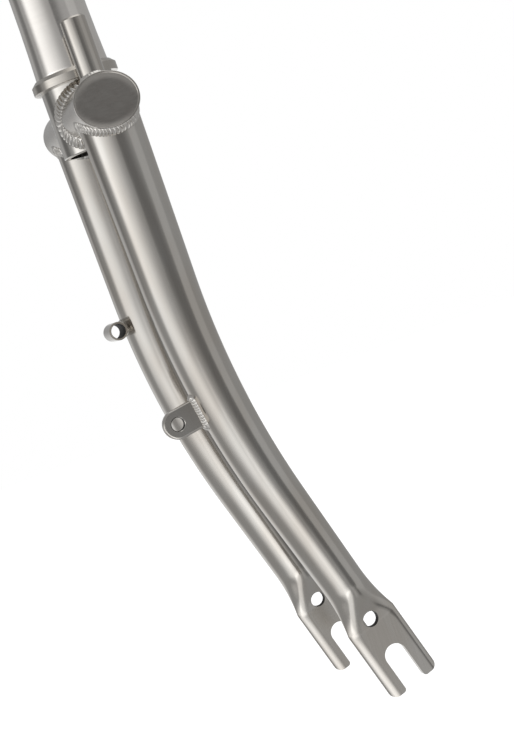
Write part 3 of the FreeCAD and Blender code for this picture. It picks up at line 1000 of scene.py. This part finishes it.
def studio_light(tree):
    """Brightness of the studio in each direction, as a socket."""
    right, up, forward = camera_axes()
    direction = add(tree, "ShaderNodeTexCoord").outputs["Generated"]
    parts = []
    for axis in (right, up, -forward):
        part = add(tree, "ShaderNodeVectorMath", {"operation": "DOT_PRODUCT"}, {0: direction, 1: axis})
        parts.append(part.outputs["Value"])
    sideways = add(tree, "ShaderNodeMath", {"operation": "ARCTAN2"}, {0: parts[0], 1: parts[2]}).outputs[0]
    height = add(tree, "ShaderNodeMath", {"operation": "ARCSINE"}, {0: parts[1]}).outputs[0]
    place = add(tree, "ShaderNodeCombineXYZ", None, {"X": sideways, "Y": height}).outputs[0]
    degrees = add(tree, "ShaderNodeVectorMath", {"operation": "SCALE"},
                  {"Vector": place, "Scale": math.degrees(1)}).outputs[0]
    level = STUDIO_WALL
    for name, centre, turn, half_length, half_width, soft_end, soft_side, gain in LIGHTS:
        card = add(tree, "ShaderNodeMapping", {"vector_type": "TEXTURE", "label": name}, {
            "Vector": degrees, "Location": (*centre, 0), "Rotation": (0, 0, math.radians(turn))}).outputs[0]
        away = add(tree, "ShaderNodeVectorMath", {"operation": "ABSOLUTE"}, {0: card}).outputs[0]
        away = add(tree, "ShaderNodeSeparateXYZ", None, {"Vector": away}).outputs
        light = gain
        for far, half, soft in ((away["X"], half_length, soft_end), (away["Y"], half_width, soft_side)):
            light = add(tree, "ShaderNodeMapRange", {"interpolation_type": "SMOOTHSTEP"}, {
                "Value": far, "From Min": half - soft / 2, "From Max": half + soft / 2,
                "To Min": light, "To Max": 0.0}).outputs[0]
        level = add(tree, "ShaderNodeMath", {"operation": "ADD"}, {0: level, 1: light}).outputs[0]
    return level


def place_camera(scene):
    """A camera where the photograph was taken from."""
    right, up, forward = camera_axes()
    data = bpy.data.cameras.new("camera")
    data.sensor_fit = "VERTICAL"
    data.sensor_height = SENSOR_HEIGHT
    data.lens = FOCAL_PIXELS * SENSOR_HEIGHT / PHOTO_HEIGHT
    camera = bpy.data.objects.new("camera", data)
    turn = Matrix((right, up, -forward)).transposed().to_4x4()
    camera.matrix_world = Matrix.Translation(CAMERA_AT) @ turn
    scene.collection.objects.link(camera)
    scene.camera = camera


def light_room(scene):
    """The studio's light. The camera, and metal right in front of the backdrop, see the backdrop instead."""
    world = bpy.data.worlds.new("studio")
    world.use_nodes = True
    scene.world = world
    tree = world.node_tree
    tree.nodes.clear()
    path = add(tree, "ShaderNodeLightPath").outputs
    direction = add(tree, "ShaderNodeTexCoord").outputs["Generated"]
    ahead = add(tree, "ShaderNodeVectorMath", {"operation": "DOT_PRODUCT"},
                {0: direction, 1: camera_axes()[2]}).outputs["Value"]
    behind = add(tree, "ShaderNodeMapRange", {"interpolation_type": "SMOOTHSTEP"}, {
        "Value": ahead, "From Min": math.cos(math.radians(BACKDROP_EDGE)),
        "From Max": math.cos(math.radians(BACKDROP_FULL)), "To Min": 0.0, "To Max": 1.0}).outputs[0]
    in_metal = add(tree, "ShaderNodeMath", {"operation": "MULTIPLY"},
                   {0: path["Is Glossy Ray"], 1: behind}).outputs[0]
    seen = add(tree, "ShaderNodeMath", {"operation": "MAXIMUM"},
               {0: path["Is Camera Ray"], 1: path["Is Transmission Ray"]}).outputs[0]
    seen = add(tree, "ShaderNodeMath", {"operation": "MAXIMUM"}, {0: seen, 1: in_metal}).outputs[0]
    level = add(tree, "ShaderNodeMix", {"data_type": "FLOAT"},
                {0: seen, 2: studio_light(tree), 3: BACKDROP_LIGHT}).outputs[0]
    light = add(tree, "ShaderNodeBackground", None, {"Color": linear("#FFFFFF"), "Strength": level})
    add(tree, "ShaderNodeOutputWorld", None, {"Surface": light.outputs["Background"]})


def lay_floor(scene):
    """Uncoated white paper far below the fork: matt and pale. The metal doesn't mirror it.

    Its fibres are about 0.03 mm apart. They are drawn 2 mm apart so that they show.
    """
    corners = [(x * FLOOR_HALF, y * FLOOR_HALF, FLOOR_AT) for x, y in ((-1, -1), (1, -1), (1, 1), (-1, 1))]
    mesh = bpy.data.meshes.new("floor")
    mesh.from_pydata(corners, [], [(0, 1, 2, 3)])
    floor = bpy.data.objects.new("floor", mesh)
    scene.collection.objects.link(floor)
    material, tree = new_material("white_paper")
    seen = add(tree, "ShaderNodeLightPath").outputs["Is Camera Ray"]
    fibres = add(tree, "ShaderNodeTexNoise", None, {
        "Vector": surface_place(tree, (0.5, 0.5, 0.5)), "Scale": 1.0, "Detail": 2.0}).outputs[0]
    bump = add(tree, "ShaderNodeBump", None, {"Distance": 0.02 * MM, "Height": fibres})
    paper = add(tree, "ShaderNodeBsdfDiffuse", None, {
        "Color": scene.fork.finishes.floor, "Normal": bump.outputs["Normal"]})
    lift = add(tree, "ShaderNodeMath", {"operation": "MULTIPLY"}, {0: seen, 1: FLOOR_GLOW}).outputs[0]
    glow = add(tree, "ShaderNodeEmission", None, {"Color": linear("#FFFFFF"), "Strength": lift})
    both = add(tree, "ShaderNodeAddShader", None, {0: paper.outputs[0], 1: glow.outputs[0]})
    add(tree, "ShaderNodeOutputMaterial", None, {"Surface": both.outputs[0]})
    mesh.materials.append(material)
    floor.visible_glossy = False


class FORK_OT_studio(bpy.types.Operator):
    """Sets the camera, the studio's light and the pale floor"""
    bl_idname = "fork.studio"
    bl_label = "Studio"

    def execute(self, context):
        scene = context.scene
        scene.view_settings.view_transform = "Standard"
        place_camera(scene)
        light_room(scene)
        lay_floor(scene)
        return {"FINISHED"}


class FORK_PT_panel(bpy.types.Panel):
    """Makes the fork's pieces and shows what can be changed"""
    bl_idname = "FORK_PT_panel"
    bl_label = "Titanium fork"
    bl_space_type = "VIEW_3D"
    bl_region_type = "UI"
    bl_category = "Fork"

    def draw(self, context):
        for item in STEPS:
            self.layout.operator(item.bl_idname)
        settings = context.scene.fork
        for group in (settings.finishes, settings.welds, settings.blades, settings.caps):
            box = self.layout.box()
            for name in group.bl_rna.properties.keys():
                if name not in ("rna_type", "name"):
                    box.prop(group, name)


STEPS = (FORK_OT_finishes, FORK_OT_blades, FORK_OT_crown_welds, FORK_OT_blade_welds, FORK_OT_post_welds,
         FORK_OT_fitting_welds, FORK_OT_end_caps, FORK_OT_studio)
CLASSES = (ForkFinishes, ForkWelds, ForkBlades, ForkCaps, ForkSettings) + STEPS + (FORK_PT_panel,)


def register():
    for item in CLASSES:
        bpy.utils.register_class(item)
    bpy.types.Scene.fork = PointerProperty(type=ForkSettings)


def unregister():
    del bpy.types.Scene.fork
    for item in reversed(CLASSES):
        bpy.utils.unregister_class(item)


def main():
    register()
    bpy.ops.fork.finishes()
    bpy.ops.fork.blades()
    bpy.ops.fork.crown_welds()
    bpy.ops.fork.blade_welds()
    bpy.ops.fork.post_welds()
    bpy.ops.fork.fitting_welds()
    bpy.ops.fork.end_caps()
    bpy.ops.fork.studio()


if __name__ == "__main__":
    main()
